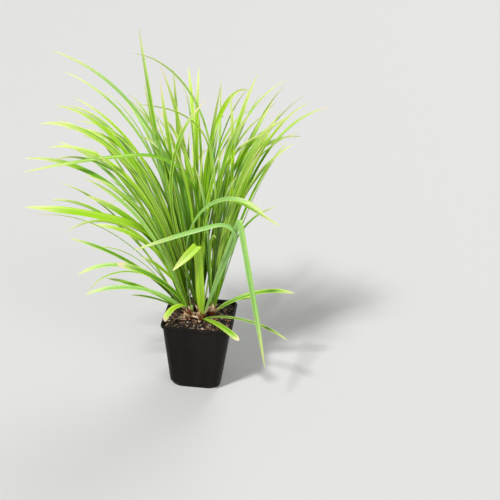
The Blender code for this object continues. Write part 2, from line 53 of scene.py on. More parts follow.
POT_HEIGHT = 0.092
FOOT_HALF = 0.0322
NECK_HALF = 0.0430
RIM_HALF = 0.0450
RIM_BAND = 0.0042
WALL = 0.0013
WALL_CORNER = 0.0075
NOTCH_CORNER = 0.0165
NOTCH_HEIGHT = 0.0052
NOTCH_SLOPE = 0.0012
DRAIN_RADIUS = 0.0035
DRAIN_OUT = 0.016

SOIL_Z = 0.0865
SOIL_RISE = 0.004
SOIL_REACH = 0.022
CROWN_Y = 0.004

CORE_RADIUS = 0.0040
CORE_TOP_RADIUS = 0.0021
CORE_TOP = 0.018
CORE_FOOT = -0.012

SEED = 41
BLADES_PER_SHOOT = 31
SHEATHS_PER_SHOOT = 4
TUFT_LEAN = 3.0
HEART_SPREAD = 0.4
DROOPING = 0.35
FRONT_UPRIGHT = 0.75
RIGHT_UPRIGHT = 0.55
KEEL = 0.28
ROOT_OUT = 0.0014
MIDRIB_SAMPLES = 181
FOLD_SAMPLES = 25
RUN_LENGTH = 0.038
FEWEST_RUNS = 3
MOST_RUNS = 8
SHARP_FOLD = 0.05
ROOT_ROLL = 0.35
ROOT_WIDTH = 0.5
FULL_WIDTH_FROM = 0.25
TIP_ROUNDNESS = 0.65
TIP_WIDTH = 0.12

Blade = namedtuple(
    "Blade",
    "shoot heading lean bend bow length width rise drift fold turn reach skew roll tip",
    defaults=(3.0, 0.0, None, 0.0, 0.03, 0.0, 0.0, 0.17),
)
BLUNT = 0.05

SHOOTS = {
    "middle": (-0.002, 0.005),
    "left": (-0.020, 0.001),
    "front_left": (-0.010, -0.008),
    "front": (0.004, -0.012),
    "right": (0.015, -0.001),
    "back_left": (-0.016, 0.014),
    "back": (-0.003, 0.022),
    "back_right": (0.013, 0.014),
}

# Heading, lean, bend, drift, turn, skew and roll are in degrees, length, width and rise in millimetres. The
# heading counts from +X. Fold, reach and tip are fractions of the length. No drawn blade grows in the space
# before the first few.
LEADING = [
    Blade("front", 265, 8, 0, 1.0, 151, 11.0, fold=0.72, turn=150, reach=0.014, skew=-22),
    Blade("front", -8, 19, 0, 1.0, 334, 7.0, fold=0.445, turn=160, reach=0.012, skew=14, roll=-120),
    Blade("front", -22, 22, 0, 1.0, 266, 6.0, drift=42, fold=0.52, turn=-128, reach=0.10, roll=-50),
    Blade("front_left", -18, -9, 150, 2.2, 244, 5.5, rise=6, roll=55),
    Blade("front", -44, 79, 26, 1.0, 72, 7.5, roll=14, tip=BLUNT),
    Blade("front_left", 222, 12, 150, 0.9, 52, 9.5, rise=8, tip=BLUNT),
    Blade("front", -12, 72, 50, 1.0, 116, 4.0, roll=30),
    Blade("left", 184, 10, 30, 1.0, 276, 9.5, fold=0.42, turn=48, reach=0.15, roll=-50),
    Blade("middle", 182, 13.5, -8, 1.0, 365, 5.2, roll=70),
    Blade("middle", 180, 6.5, 68, 2.2, 396, 4.6, roll=-45),
    Blade("back_left", 172, 4, 68, 2.0, 360, 4.0, roll=-30),
    Blade("middle", 184, 12, -3, 1.0, 305, 5.0, roll=-80),
    Blade("back_left", 170, 7, 62, 2.0, 320, 4.0, roll=-40),
    Blade("middle", 178, 9, 82, 3.0, 333, 7.0, roll=-60),
    Blade("back", 176, 11.5, 85, 3.0, 312, 4.2, roll=-35),
    Blade("back_left", 168, 9.5, 95, 2.6, 310, 4.2, roll=-50),
    Blade("front_left", 178, 13, 90, 2.5, 306, 5.6, roll=-40),
    Blade("front_left", 182, 15, 80, 1.8, 310, 6.4, roll=-55),
    Blade("right", 182, -2, 24, 1.0, 396, 5.0, fold=0.53, turn=78, reach=0.16, roll=-40),
    Blade("right", 0, 3, -90, 3.8, 378, 5.0, roll=50),
    Blade("back_right", 0, 3, -8, 1.0, 330, 4.6, fold=0.76, turn=-78, reach=0.18, roll=40),
    Blade("back", 160, -2, 55, 3.0, 272, 4.5, roll=-60),
    Blade("front", 10, -16, 66, 2.6, 300, 4.8, roll=60),
    Blade("right", 0, 14, -18, 1.0, 292, 4.6, roll=80),
    Blade("front", -6, 0, 8, 1.0, 252, 4.8, fold=0.66, turn=112, reach=0.16, roll=40),
    Blade("back_left", 185, 16, 54, 1.4, 207, 7.5, roll=-55),
    Blade("front_left", 190, 12, 78, 1.5, 188, 6.2, roll=-45),
    Blade("back_left", 170, 9, 78, 1.5, 155, 4.5, roll=-30),
    Blade("left", 182, 28, 48, 0.8, 178, 5.0, roll=-40),
    Blade("left", 188, 20, 104, 1.2, 166, 5.5, roll=-50),
    Blade("left", 185, 21, 132, 1.4, 160, 2.8, roll=-20),
    Blade("front_left", 192, 37, 74, 1.0, 146, 6.0, roll=-35),
    Blade("left", 178, 50, 34, 1.0, 110, 5.0, roll=-45),
    Blade("left", 195, 48, 35, 1.0, 74, 3.5, roll=-25),
    Blade("front_left", 195, 17, 56, 0.8, 124, 7.5, roll=-50, tip=BLUNT),
    Blade("front_left", 200, 9, 50, 1.0, 112, 6.5, roll=-30),
    Blade("right", 20, 43, 60, 1.0, 62, 5.5, roll=40),
    Blade("right", 10, 46, 60, 1.0, 114, 6.5, roll=35),
]

# How the drawn blades vary, from a shoot's oldest (age 0) to its youngest (1): angles in degrees, lengths,
# widths and rises in millimetres, and the rest as factors and powers.
HEADING_VARIES = (58, 94)
DRIFT_VARIES = 20
OLD_LEAN = 24
LEAN_VARIES = 12
LEAN_FADES = 1.3
AGE_VARIES = 0.9
LEFTWARD = -0.3
BEND_RANGE = (20, 80)
BEND_BY_AGE = (1.15, 0.75)
BOW_RANGE = (1.7, 3.2)
DROOP_BEND = 40
DROOP_BOW = 0.6
SHORT_LENGTH = 170
LONG_MORE = 165
LENGTH_VARIES = 45
LENGTH_BY_AGE = 0.9
LENGTH_FROM_AGE = 0.05
LENGTH_EVENNESS = 0.8
LEFT_SHORTER = 0.88
RIGHT_SHORTER = 0.93
FRONT_SHORTER = 0.20
LEAST_WIDTH = 2.8
WIDE_MORE = 2.6
WIDTH_VARIES = (-0.8, 0.9)
RISE_RANGE = (1, 8)
ROLL_RANGE = (10, 105)

SHEATH_TURN_VARIES = 40
SHEATH_LEAN = (6, 26)
SHEATH_BEND = (5, 55)
SHEATH_BOW = (1.0, 2.0)
SHEATH_LENGTH = (14, 30)
SHEATH_WIDTH = (4.5, 7.0)
SHEATH_RISE = 0.5
SHEATH_TIP = 0.6

# A blade that touches another is turned and leaned a little, and in the end drawn anew.
LEADING_TRIES = 60
FOREMOST = 4
DRAWS = 60
NUDGES = 4
SHEATH_TRIES = 12
NUDGE_HEADING = 1.0
NUDGE_LEAN = 0.3
NUDGE_RISE = 1.0
NUDGE_GROWS = 0.5
HIGHEST_RISE = 8.0

# The room that is taken is kept in small cells.
CELL = 0.0015
SPACING = 0.0010
QUICK_LOOK = 11
CORE_TURN = 0.3
ROOM_HALF = 0.232
ROOM_HEIGHT = 0.47
OWN_ROOT = 0.075
CLEAR_FROM = 0.105
CLEAR_DEPTH = 0.040
CLEAR_STEP = 0.003
TOWARDS_VIEW = np.array([0.11, -0.91, 0.40])
INSIDE_HALF = 0.036
RIM_OUTER = 0.049
RIM_CLEAR = 0.0022
GROUND_CLEAR = 0.0023
ROOT_MARGIN = 0.0005
LOWEST_BLADE = 0.014


def soil_height(x, y):
    """The soil's smooth height, which rises a little under the crown of the plant."""
    away = np.hypot(x, np.asarray(y) - CROWN_Y) / SOIL_REACH
    return SOIL_Z + SOIL_RISE * np.exp(-away * away)


def stations(blade, runs):
    """The fractions of a blade's length where its sections stand: three of them make a sharp fold."""
    if blade.fold is None or blade.reach > SHARP_FOLD:
        return np.linspace(0.0, 1.0, runs + 1)
    before = max(2, round(runs * blade.fold))
    after = max(2, runs - before)
    start = np.linspace(0.0, blade.fold - blade.reach, before + 1)
    end = np.linspace(blade.fold + blade.reach, 1.0, after + 1)
    return np.concatenate([start, [blade.fold], end])


def runs_of(blade):
    """How many straight runs stand for a blade's arch."""
    return int(min(MOST_RUNS, max(FEWEST_RUNS, round(blade.length * MM / RUN_LENGTH))))


def tuft_leant(ways):
    """Directions turned with the whole tuft, which leans a little towards -X."""
    x, y, z = ways.T
    turn = math.radians(TUFT_LEAN)
    leant_x = x * math.cos(turn) - z * math.sin(turn)
    leant_z = x * math.sin(turn) + z * math.cos(turn)
    return np.stack([leant_x, y, leant_z], axis=1)


def soft_step(blade, s):
    """Zero before a blade's fold and one past it, with a smooth step over the fold's reach."""
    part = np.clip((s - blade.fold + blade.reach) / (2 * blade.reach), 0, 1)
    return part * part * (3 - 2 * part)


def creased(blade, s, along, across):
    """Both directions of a sharply folded blade, which turns as a whole about a line that crosses it."""
    at = np.searchsorted(s, blade.fold)
    skew = math.radians(blade.skew)
    line = across[at] * math.cos(skew) + along[at] * math.sin(skew)
    turn = math.radians(blade.turn) * soft_step(blade, s)[:, None]

    def turned(ways):
        kept = np.outer(ways @ line, line) * (1 - np.cos(turn))
        return ways * np.cos(turn) + np.cross(line, ways) * np.sin(turn) + kept

    return turned(along), turned(across)


def frame_of(blade, s):
    """Midrib points, the direction across the blade, and the direction out of its upper face."""
    samples = [np.linspace(0.0, 1.0, MIDRIB_SAMPLES), s]
    if blade.fold is not None:
        samples.append(blade.fold + blade.reach * np.linspace(-1, 1, FOLD_SAMPLES))
    fine = np.unique(np.concatenate(samples))
    is_sharp = blade.fold is not None and blade.reach <= SHARP_FOLD
    lean = blade.lean + blade.bend * fine**blade.bow
    if blade.fold is not None and not is_sharp:
        lean = lean + blade.turn * soft_step(blade, fine)
    lean = np.radians(lean)
    heading = np.radians(blade.heading + blade.drift * fine)
    roll = np.radians(blade.roll * (ROOT_ROLL + (1 - ROOT_ROLL) * fine))[:, None]
    along = np.stack([np.sin(lean) * np.cos(heading), np.sin(lean) * np.sin(heading), np.cos(lean)], axis=1)
    level = np.stack([-np.sin(heading), np.cos(heading), np.zeros_like(heading)], axis=1)
    across = level * np.cos(roll) + np.cross(along, level) * np.sin(roll)
    if is_sharp:
        along, across = creased(blade, fine, along, across)
    along, across = tuft_leant(along), tuft_leant(across)
    x, y = SHOOTS[blade.shoot]
    turn = math.radians(blade.heading)
    root_z = soil_height(x, y) + blade.rise * MM
    root = [x + ROOT_OUT * math.cos(turn), y + ROOT_OUT * math.sin(turn), root_z]
    steps = np.diff(fine)[:, None] * blade.length * MM
    points = np.zeros_like(along)
    points[1:] = np.cumsum((along[1:] + along[:-1]) / 2 * steps, axis=0)
    at = np.searchsorted(fine, s)
    return points[at] + np.array(root), across[at], np.cross(along[at], across[at])


def half_width(blade, s):
    """Half the blade's width: narrower at the root, widest past a quarter, and tapered over the tip."""
    grow = np.clip(s / FULL_WIDTH_FROM, 0, 1)
    full = ROOT_WIDTH + (1 - ROOT_WIDTH) * grow * grow * (3 - 2 * grow)
    taper = np.clip((1.0 - s) / blade.tip, 0, 1) ** TIP_ROUNDNESS
    return blade.width * MM / 2 * full * np.maximum(taper, TIP_WIDTH)


def surface_points(blade):
    """Points spread over the blade's faceted ribbon, close enough together to find what it touches."""
    s = stations(blade, runs_of(blade))
    middle, across, upper = frame_of(blade, s)
    wide = half_width(blade, s)[:, None]
    count = int(np.max(np.diff(s)) * blade.length * MM / SPACING) + 1
    t = np.arange(count)[:, None, None] / count
    lanes = int(blade.width * MM / SPACING) + 2
    points = []
    for u in np.linspace(-1, 1, lanes):
        lane = middle + across * wide * u + upper * wide * KEEL * abs(u)
        points.append((lane[None, :-1] * (1 - t) + lane[None, 1:] * t).reshape(-1, 3))
    return np.concatenate(points)


class Room:
    """The space that is taken, in small cells: one bit for each shoot, and one for what is kept clear."""

    def __init__(self):
        wide = int(2 * ROOM_HALF / CELL)
        self.shape = np.array([wide, wide, int(ROOM_HEIGHT / CELL)])
        self.own = np.zeros(self.shape, np.uint16)
        self.near = np.zeros(self.shape, np.uint16)
        self.bits = {name: np.uint16(1 << k) for k, name in enumerate([*SHOOTS, "clear"])}

    def cells(self, points):
        return np.floor((points + [ROOM_HALF, ROOM_HALF, 0.0]) / CELL).astype(int)

    def add(self, shoot, points):
        cells = np.unique(self.cells(points), axis=0)
        self.own[tuple(cells.T)] |= self.bits[shoot]
        for shift in np.ndindex(3, 3, 3):
            self.near[tuple((cells + shift - 1).T)] |= self.bits[shoot]

    def is_free(self, shoot, points):
        cells = self.cells(points)
        if (cells < 1).any() or (cells >= self.shape - 1).any():
            return False
        if (self.near[tuple(cells.T)] & ~self.bits[shoot]).any():
            return False
        x, y = SHOOTS[shoot]
        root = np.array([x, y, soil_height(x, y)])
        far = cells[np.linalg.norm(points - root, axis=1) > OWN_ROOT]
        return not (self.own[tuple(far.T)] & self.bits[shoot]).any()


def clear_of_pot(points):
    """Whether a blade passes over the rim and the soil, and stays up off the ground."""
    x, y, z = points.T
    out = np.maximum(abs(x), abs(y))
    if ((out > INSIDE_HALF) & (out < RIM_OUTER) & (z < POT_HEIGHT + RIM_CLEAR)).any():
        return False
    rooted = np.zeros(len(x), bool)
    for a, b in SHOOTS.values():
        rooted |= np.hypot(x - a, y - b) < CORE_RADIUS + ROOT_MARGIN
    if ((out <= INSIDE_HALF) & ~rooted & (z < soil_height(x, y) + GROUND_CLEAR)).any():
        return False
    return z.min() > LOWEST_BLADE


def keep_clear_before(room, blade):
    """Keeps the space before a blade free, seen from the front and a little above."""
    points = surface_points(blade)
    points = points[points[:, 2] > CLEAR_FROM]
    for step in np.arange(CLEAR_STEP, CLEAR_DEPTH, CLEAR_STEP):
        room.add("clear", points + step * TOWARDS_VIEW)


def nudged(blade, rng, n):
    """The same blade, turned and leaned a little further each time it is tried."""
    reach = 1.0 + n * NUDGE_GROWS
    return blade._replace(
        heading=blade.heading + rng.uniform(-NUDGE_HEADING, NUDGE_HEADING) * reach,
        lean=blade.lean + rng.uniform(-NUDGE_LEAN, NUDGE_LEAN) * reach,
        rise=max(0.0, min(HIGHEST_RISE, blade.rise + rng.uniform(-NUDGE_RISE, NUDGE_RISE))),
    )


def drawn_blade(shoot, k, rng):
    """Blade k of a shoot, from the oldest and lowest to the youngest in its heart."""
    age = (k + rng.uniform(0, AGE_VARIES)) / BLADES_PER_SHOOT
    x, y = SHOOTS[shoot]
    outward = math.degrees(math.atan2(y - CROWN_Y, x - SHOOTS["middle"][0]))
    heading = outward + rng.gauss(0, HEADING_VARIES[0] * (1 - age) + HEADING_VARIES[1] * age)
    droops = rng.random() < DROOPING
    rightward = math.cos(math.radians(heading))
    frontward = max(0.0, -math.sin(math.radians(heading)))
    upright = 1 - FRONT_UPRIGHT * frontward - RIGHT_UPRIGHT * max(0.0, rightward) ** 2
    grown = min(1, age * LENGTH_BY_AGE + LENGTH_FROM_AGE)
    length = SHORT_LENGTH + LONG_MORE * math.sin(math.pi * grown) ** LENGTH_EVENNESS
    length += rng.uniform(-LENGTH_VARIES, LENGTH_VARIES)
    length *= (LEFT_SHORTER if rightward < LEFTWARD else RIGHT_SHORTER) * (1 - FRONT_SHORTER * frontward)
    spread = HEART_SPREAD if shoot == "middle" else 1.0
    bend_by_age = BEND_BY_AGE[0] * (1 - age) + BEND_BY_AGE[1] * age
    return Blade(
        shoot,
        heading,
        lean=(OLD_LEAN * (1 - age) ** LEAN_FADES + rng.uniform(0, LEAN_VARIES)) * spread * upright,
        bend=(rng.uniform(*BEND_RANGE) * bend_by_age + DROOP_BEND * droops) * (1 + upright) / 2,
        bow=rng.uniform(*BOW_RANGE) + DROOP_BOW * droops,
        length=length,
        width=LEAST_WIDTH + WIDE_MORE * math.sin(math.pi * age) + rng.uniform(*WIDTH_VARIES),
        rise=RISE_RANGE[0] * (1 - age) + RISE_RANGE[1] * age,
        drift=rng.gauss(0, DRIFT_VARIES),
        roll=rng.choice((-1, 1)) * rng.uniform(*ROLL_RANGE),
    )


def drawn_sheath(shoot, k, rng):
    """A short dry sheath at the foot of a shoot."""
    return Blade(
        shoot,
        heading=360 * k / SHEATHS_PER_SHOOT + rng.uniform(-SHEATH_TURN_VARIES, SHEATH_TURN_VARIES),
        lean=rng.uniform(*SHEATH_LEAN),
        bend=rng.uniform(*SHEATH_BEND),
        bow=rng.uniform(*SHEATH_BOW),
        length=rng.uniform(*SHEATH_LENGTH),
        width=rng.uniform(*SHEATH_WIDTH),
        rise=SHEATH_RISE,
        tip=SHEATH_TIP,
    )


def core_points(name):
    """Points on the side of a shoot's core."""
    x, y = SHOOTS[name]
    heights = np.arange(CORE_FOOT, CORE_TOP, SPACING)
    angles = np.arange(0, 2 * math.pi, CORE_TURN)
    z, turn = (grid.reshape(-1) for grid in np.meshgrid(heights, angles))
    radius = CORE_RADIUS + (CORE_TOP_RADIUS - CORE_RADIUS) * (z - CORE_FOOT) / (CORE_TOP - CORE_FOOT)
    return np.stack([x + radius * np.cos(turn), y + radius * np.sin(turn), z + soil_height(x, y)], axis=1)


def grow_plant():
    """All blades and all sheaths, as two lists, each piece clear of every other shoot's."""
    rng = random.Random(SEED)
    room = Room()
    for name in SHOOTS:
        room.add(name, core_points(name))

    def settled(wanted, tries):
        for n in range(tries):
            blade = nudged(wanted, rng, n) if n else wanted
            points = surface_points(blade)
            fits = True
            for some in (points[::QUICK_LOOK], points):
                fits = fits and clear_of_pot(some) and room.is_free(blade.shoot, some)
            if fits:
                room.add(blade.shoot, points)
                return blade
        return None

    blades = [settled(wanted, LEADING_TRIES) for wanted in LEADING]
    for blade in LEADING[:FOREMOST]:
        keep_clear_before(room, blade)
    for k in range(BLADES_PER_SHOOT):
        for name in SHOOTS:
            led = sum(blade.shoot == name for blade in LEADING)
            if k >= BLADES_PER_SHOOT - led:
                continue
            for _ in range(DRAWS):
                blade = settled(drawn_blade(name, k + led * rng.random(), rng), NUDGES)
                if blade:
                    blades.append(blade)
                    break
    sheaths = []
    for k in range(SHEATHS_PER_SHOOT):
        for name in SHOOTS:
            sheaths.append(settled(drawn_sheath(name, k, rng), SHEATH_TRIES))
    return [blade for blade in blades if blade], [sheath for sheath in sheaths if sheath]


LOOK_SEED = 7
ANY_TURN = (0, 6.28)

# A fine blade's stations along it, and its lanes across it, from one margin to the other.
FINE_STATION = 0.0065
SHEATH_STATION = 0.002
FEWEST_STATIONS = 10
FOLD_STATIONS = 15
FOLD_MARGIN = 1.2
TIP_STATIONS = (0.5, 0.25, 0.12, 0.05, 0.02)
STATION_DIGITS = 4
LANES = (-1.0, -0.82, -0.55, -0.25, -0.06, 0.0, 0.06, 0.25, 0.55, 0.82, 1.0)

LEAF_THICK = 0.00045
EDGE_THICK = 0.00018
EDGE_THINNING = 0.6
KEEL_STEEPER = 1.45
KEEL_EASES = 0.35
RIB_DROP = 0.00035
RIB_WIDTH = 0.09
RIB_ABOVE = 0.25
RIB_NEEDS = 0.002
WAVE_DEPTH = (0.02, 0.07)
WAVE_LENGTH = (45, 80)
SECOND_WAVE = 1.3
BRIGHT_WIDTH = 9.0
BRIGHT_TONE = 1.4
BLADE_NUMBERS = ("across", "along", "upper", "tone", "stripe", "dry", "reach")


def joined_mesh(name, parts, material, numbers=()):
    """One object from many (points, faces, {attribute: values}) parts."""
    points = []
    faces = []
    values = {key: [] for key in numbers}
    start = 0
    for part_points, part_faces, part_values in parts:
        points.append(np.asarray(part_points))
        faces.extend([[k + start for k in face] for face in part_faces])
        for key in numbers:
            values[key].append(np.broadcast_to(part_values[key], (len(part_points),)))
        start += len(part_points)
    mesh = bpy.data.meshes.new(name)
    mesh.from_pydata(np.concatenate(points).tolist(), [], faces)
    for key in numbers:
        layer = mesh.attributes.new(key, "FLOAT", "POINT")
        layer.data.foreach_set("value", np.concatenate(values[key]).astype(np.float32))
    mesh.update()
    mesh.shade_smooth()
    piece = bpy.data.objects.new(name, mesh)
    bpy.context.scene.collection.objects.link(piece)
    mesh.materials.append(material)
    return piece


def ring_faces(rows, around):
    """Quads between successive rings of points, with a face over each end."""
    faces = []
    for row in range(rows - 1):
        for k in range(around):
            after = (k + 1) % around
            a, b = row * around, (row + 1) * around
            faces.append((a + k, a + after, b + after, b + k))
    faces.append(tuple(range(around - 1, -1, -1)))
    faces.append(tuple(range((rows - 1) * around, rows * around)))
    return faces


def ringed_mesh(name, rings, material):
    """One closed object through successive rings of points."""
    points = np.array([point for ring in rings for point in ring])
    return joined_mesh(name, [(points, ring_faces(len(rings), len(rings[0])), {})], material)


def fine_stations(blade, spacing):
    """Sections close together along the blade, and closer round a fold and over the tip."""
    count = max(FEWEST_STATIONS, int(blade.length * MM / spacing))
    s = np.linspace(0, 1, count + 1)
    if blade.fold is not None:
        near = np.linspace(-FOLD_MARGIN, FOLD_MARGIN, FOLD_STATIONS)
        s = np.concatenate([s, blade.fold + blade.reach * near])
    tip = 1 - blade.tip * np.array(TIP_STATIONS)
    return np.unique(np.round(np.concatenate([s, tip]), STATION_DIGITS))


def margin_waves(blade, s, look):
    """How much wider, and how much steeper, the sides are at each station, in two slight waves."""
    depth = look.uniform(*WAVE_DEPTH)
    angle = 2 * math.pi * (blade.length / look.uniform(*WAVE_LENGTH)) * s
    phase = look.uniform(*ANY_TURN)
    return 1 + depth * np.sin(angle + phase), 1 + depth * np.cos(angle * SECOND_WAVE + phase)


def side_heights(side, order, wide, steep):
    """How far one face lies above the midrib at each station and lane: a keel, with a rib below."""
    lift = KEEL * (KEEL_STEEPER * abs(order) - KEEL_EASES * order**2)
    thick = EDGE_THICK + (LEAF_THICK - EDGE_THICK) * (1 - abs(order)) ** EDGE_THINNING
    rib = RIB_DROP * np.exp(-((order / RIB_WIDTH) ** 2)) * (RIB_ABOVE if side > 0 else 1.0)
    off = side * thick[None] / 2 - rib[None] * np.minimum(1, wide / RIB_NEEDS)[:, None]
    return lift[None] * (wide * steep)[:, None] + off


def fine_blade(blade, look, spacing=FINE_STATION):
    """One closed blade with a rib below, thin edges and slightly wavy margins, and what colours it."""
    s = fine_stations(blade, spacing)
    middle, across, upper = frame_of(blade, s)
    wide = half_width(blade, s)
    margin, steep = margin_waves(blade, s, look)
    lanes = np.array(LANES)
    rows = []
    for side, order in ((1, lanes), (-1, lanes[::-1])):
        sideways = order[None] * (wide * margin)[:, None]
        height = side_heights(side, order, wide, steep)
        place = middle[:, None] + across[:, None] * sideways[..., None]
        rows.append(place + upper[:, None] * height[..., None])
    points = np.concatenate(rows, axis=1)
    around = points.shape[1]
    faces_up = np.concatenate([np.ones(len(lanes)), np.zeros(len(lanes))])
    values = {
        "across": np.tile(np.concatenate([lanes, lanes[::-1]]), len(s)),
        "along": np.repeat(s, around),
        "upper": np.tile(faces_up, len(s)),
        "tone": BRIGHT_TONE if blade.width >= BRIGHT_WIDTH else look.random(),
        "stripe": look.random(),
        "dry": max(look.random(), 1.0 if blade.tip == BLUNT else 0.0),
        "reach": np.repeat(s * blade.length * MM, around),
    }
    return points.reshape(-1, 3), ring_faces(len(s), around), values


class Nodes:
    """Short calls that build one material's node tree."""

    def __init__(self, name):
        self.material = bpy.data.materials.new(name)
        self.material.use_nodes = True
        self.tree = self.material.node_tree
        self.shader = self.tree.nodes["Principled BSDF"]

    def node(self, kind, inputs=(), **settings):
        node = self.tree.nodes.new(kind)
        for key, value in settings.items():
            setattr(node, key, value)
        for key, value in dict(inputs).items():
            self.put(node.inputs[key], value)
        return node

    def put(self, socket, value):
        if isinstance(value, bpy.types.NodeSocket):
            self.tree.links.new(value, socket)
        elif isinstance(value, tuple) and len(value) == 3 and socket.type == "RGBA":
            socket.default_value = (*value, 1.0)
        else:
            socket.default_value = value

    def number(self, name):
        return self.node("ShaderNodeAttribute", attribute_name=name).outputs["Fac"]

    def place(self):
        return self.node("ShaderNodeTexCoord").outputs["Object"]

    def math(self, operation, a, b=0.0, clamp=False):
        return self.node("ShaderNodeMath", {0: a, 1: b}, operation=operation, use_clamp=clamp).outputs[0]

    def times(self, a, b):
        return self.math("MULTIPLY", a, b)

    def plus(self, a, b):
        return self.math("ADD", a, b)

    def less(self, a, b):
        return self.math("SUBTRACT", a, b)

    def until(self, value, low, high):
        """One up to low, zero over high."""
        return self.less(1.0, self.steps(value, low, high))

    def spread(self, noise, amount):
        """A noise about 0.5, as an offset about zero."""
        return self.times(self.less(noise, 0.5), amount)

    def steps(self, value, low, high, smooth=True):
        """Zero under low, one over high."""
        kind = "SMOOTHSTEP" if smooth else "LINEAR"
        inputs = {"Value": value, "From Min": low, "From Max": high}
        return self.node("ShaderNodeMapRange", inputs, interpolation_type=kind).outputs["Result"]

    def mix(self, part, a, b):
        node = self.node("ShaderNodeMix", data_type="RGBA")
        self.put(node.inputs[0], part)
        self.put(node.inputs[6], a)
        self.put(node.inputs[7], b)
        return node.outputs[2]

    def tinted(self, colour, part, tint, amount):
        """The colour, with this amount of the tint where part is one."""
        return self.mix(self.times(part, amount), colour, tint)

    def noise(self, scale, detail=3.0, roughness=0.55, vector=None, stretch=None):
        vector = vector or self.place()
        if stretch:
            vector = self.node("ShaderNodeMapping", {"Vector": vector, "Scale": stretch}).outputs[0]
        inputs = {"Vector": vector, "Scale": scale, "Detail": detail, "Roughness": roughness}
        return self.node("ShaderNodeTexNoise", inputs).outputs["Fac"]

    def drawn_out(self, numbers, scales, detail=2.0, roughness=0.5):
        """Noise that changes at its own rate with each of three numbers of a blade."""
        x, y, z = (self.times(number, scale) for number, scale in zip(numbers, scales))
        vector = self.node("ShaderNodeCombineXYZ", {0: x, 1: y, 2: z}).outputs[0]
        return self.noise(1.0, detail, roughness, vector)

    def bump(self, height, strength, distance, normal=None):
        inputs = {"Height": height, "Strength": strength, "Distance": distance}
        if normal is not None:
            inputs["Normal"] = normal
        return self.node("ShaderNodeBump", inputs).outputs[0]

    def finish(self, colour, roughness, normal=None, **fixed):
        self.put(self.shader.inputs["Base Color"], colour)
        self.put(self.shader.inputs["Roughness"], roughness)
        if normal is not None:
            self.put(self.shader.inputs["Normal"], normal)
        for key, value in fixed.items():
            self.shader.inputs[key.replace("_", " ")].default_value = value
        return self.material


DEEP_GREEN = (0.018, 0.090, 0.002)
MID_GREEN = (0.115, 0.330, 0.003)
LIME_GREEN = (0.320, 0.560, 0.006)
BAND_GREEN = (0.560, 0.740, 0.050)
RIB_GREEN = (0.22, 0.46, 0.02)
UNDER_GREEN = (0.20, 0.42, 0.02)
# Painted sheen: a whitish green that stands in for the gloss's reflection on some blades.
PAINTED_SHEEN_GREEN = (0.420, 0.660, 0.260)
SHEATH_GREEN = (0.380, 0.500, 0.070)
PALE_MARGIN = (0.600, 0.800, 0.120)
PALE_TIP = (0.760, 0.800, 0.320)
DRY_TIP = (0.720, 0.600, 0.380)

# How fast each noise changes across a blade, along it in metres, and from one blade to the next.
STREAKS = (7.0, 9.0, 37.0)
PATCHES = (0.8, 26.0, 53.0)
BANDS = (2.8, 3.0, 71.0)
VEINS = 34.0

# Where each change of colour begins and ends: reach is in metres from the root, along a fraction of the
# length, and stripe and dry are each blade's own numbers from 0 to 1.
# Painted shade and light: over this reach from the root the green goes from darker to lighter.
PAINTED_SHADE_REACH = (0.03, 0.30)
LIGHT_TO_MID = (0.15, 0.50)
LIGHT_TO_LIME = (0.45, 0.85)
BAND_EDGE = (0.50, 0.58)
MARGIN_OUTERMOST = 0.98
MARGIN_WIDENS = 0.40
STRIPE_WIDENS = (0.15, 0.75)
MARGIN_EDGE = (-0.05, 0.07)
MARGIN_BEGINS = (0.10, 0.35)
MIDDLE_EDGE = (0.10, 0.34)
MIDDLE_STRIPED = (0.80, 0.88)
VEIN_EDGE = (0.0, 1.4)
RIB_EDGE = (0.03, 0.09)
FOOT_ENDS = (0.006, 0.035)
PAINTED_SHEEN_BLADES = (0.08, 0.28)
TIP_PALES = (0.76, 1.0)
DRY_BLADES = (0.72, 1.0)
DEAD_LENGTH = 0.07
DEAD_EDGE = (-0.012, 0.008)

TONE_SHARE = 0.62
PATCH_SHARE = 0.55
DEPTH_SHARE = 0.74
PAINTED_SHADE_SHARE = 0.26
STREAKED_EDGE = 0.55
STREAKED_VEINS = 2.2
STREAKED_TIP = 0.10
LEAF_GLOW = 0.38
LEAF_GLOW_DEPTH = 0.0015
LEAF_ROUGHNESS = 0.26


def leaf_green(m, leaf):
    """Green from deep to lime: by blade, in patches and bands, with painted shade near the root and painted
    light out along the blade.
    """
    patches = m.drawn_out((leaf.across, leaf.reach, leaf.stripe), PATCHES)
    depth = m.math("ADD", m.times(leaf.tone, TONE_SHARE), m.times(patches, PATCH_SHARE), clamp=True)
    # Painted shade and light: darker green near the root, for the shade deep in the tuft, and lighter
    # further out, for the light on the upper blades.
    out_of_painted_shade = m.steps(leaf.reach, *PAINTED_SHADE_REACH, smooth=False)
    light = m.plus(m.times(depth, DEPTH_SHARE), m.times(out_of_painted_shade, PAINTED_SHADE_SHARE))
    green = m.mix(m.steps(light, *LIGHT_TO_MID), DEEP_GREEN, MID_GREEN)
    green = m.mix(m.steps(light, *LIGHT_TO_LIME), green, LIME_GREEN)
    bands = m.drawn_out((leaf.across, leaf.reach, leaf.stripe), BANDS)
    return m.tinted(green, m.steps(bands, *BAND_EDGE), m.mix(0.5, green, BAND_GREEN), amount=0.85)


def leaf_stripes(m, leaf, streaks):
    """One on both margins, and down the middle of some blades, with a streaked border."""
    edge = m.plus(leaf.out, m.spread(streaks, STREAKED_EDGE))
    width = m.less(MARGIN_OUTERMOST, m.times(m.steps(leaf.stripe, *STRIPE_WIDENS), MARGIN_WIDENS))
    margin = m.steps(m.less(edge, width), *MARGIN_EDGE)
    margin = m.times(margin, m.steps(leaf.along, *MARGIN_BEGINS))
    middle = m.times(m.until(edge, *MIDDLE_EDGE), m.steps(leaf.stripe, *MIDDLE_STRIPED))
    return m.math("MAXIMUM", margin, middle)


